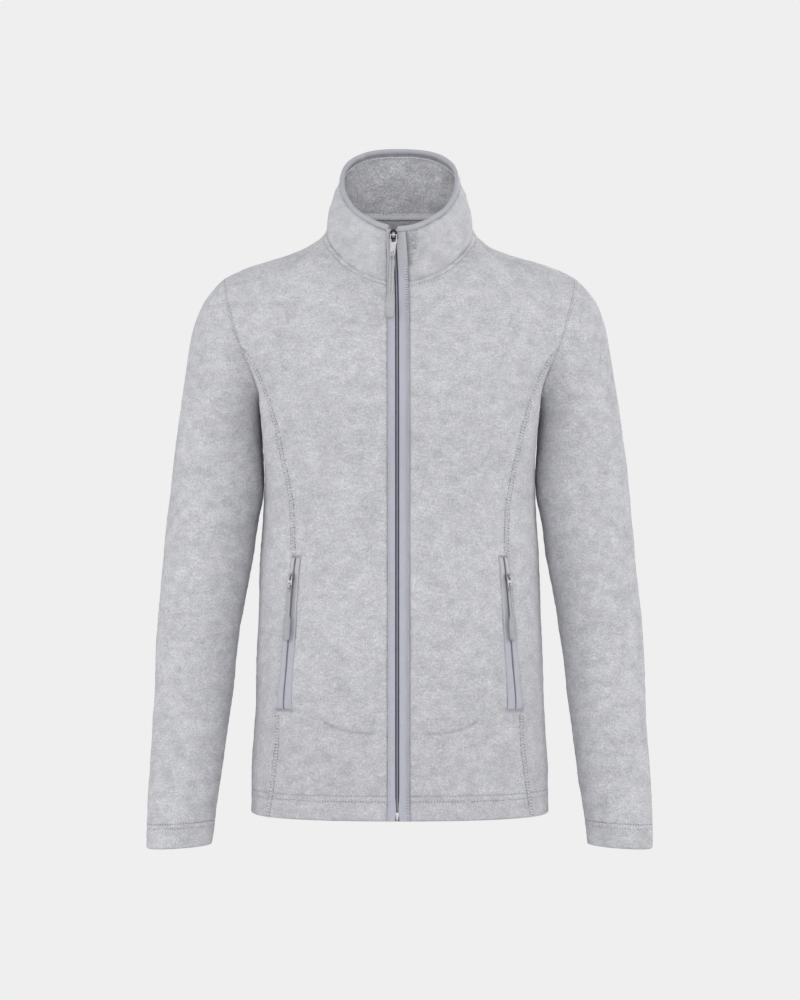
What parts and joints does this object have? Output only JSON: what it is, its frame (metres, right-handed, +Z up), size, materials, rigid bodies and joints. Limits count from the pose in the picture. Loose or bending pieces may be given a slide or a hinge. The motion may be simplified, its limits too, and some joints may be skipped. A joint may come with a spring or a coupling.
{
  "type": "fleece zip jacket",
  "caption": "Light grey fleece jacket with a full-length front zip, stand collar, princess seams, slanted zipped pockets and set-in sleeves, filled out and hollow as when worn.",
  "frame": {"origin": "middle of the neck, level with the highest point of the shoulder seams, where the wearer's shoulders and neck hold the jacket", "axes": "+Z up, the front faces -Y, +X towards the wearer's left (the right of the front view)"},
  "size_m": [0.561, 0.251, 0.785],
  "materials": {
    "fleece": "matt light heather-grey fleece, short brushed nap",
    "binding": "smooth lilac-grey woven binding",
    "tape": "woven zip tape and pocket lining",
    "coil": "dark slate nylon coil",
    "metal": "satin silver zip metal",
    "cord": "warm grey braided cord",
    "pull_end": "moulded grey end, satin",
    "retainer": "white moulded retainer"
  },
  "bodies": {
    "jacket": {"back_panel": "fleece", "collar": "fleece", "collar_binding": "binding", "front_panel_l": "fleece", "front_panel_r": "fleece", "neck_tape": "binding", "pocket_bag_l": "tape", "pocket_bag_r": "tape", "pocket_chain_l": "coil", "pocket_chain_r": "coil", "pocket_slider_l": "metal", "pocket_slider_r": "metal", "pocket_welt_front_l": "binding", "pocket_welt_front_r": "binding", "pocket_welt_side_l": "binding", "pocket_welt_side_r": "binding", "side_panel_l": "fleece", "side_panel_r": "fleece", "sleeve_l": "fleece", "sleeve_r": "fleece", "zip_binding_l": "binding", "zip_binding_r": "binding", "zip_box": "retainer", "zip_chain": "coil", "zip_slider": "metal", "zip_tape_l": "tape", "zip_tape_r": "tape"},
    "front_pull": {"front_pull_link": "metal", "front_pull_cord": "cord", "front_pull_tab": "pull_end"},
    "pocket_pull_r": {"pocket_pull_r_link": "metal", "pocket_pull_r_cord": "cord", "pocket_pull_r_tab": "pull_end"},
    "pocket_pull_l": {"pocket_pull_l_link": "metal", "pocket_pull_l_cord": "cord", "pocket_pull_l_tab": "pull_end"}
  },
  "joints": [
    {"name": "front_pull_swing", "type": "hinge", "parent": "jacket", "child": "front_pull", "pos_m": [-0.00671, -0.0925, -0.0134], "axis": [-1, 0, 0], "range_deg": [0, 160]},
    {"name": "pocket_pull_r_swing", "type": "hinge", "parent": "jacket", "child": "pocket_pull_r", "pos_m": [-0.11978, -0.08869, -0.38775], "axis": [-0.8089, 0.5879, 0], "range_deg": [0, 160]},
    {"name": "pocket_pull_l_swing", "type": "hinge", "parent": "jacket", "child": "pocket_pull_l", "pos_m": [0.11978, -0.08869, -0.38775], "axis": [-0.8089, -0.5879, 0], "range_deg": [0, 160]}
  ]
}
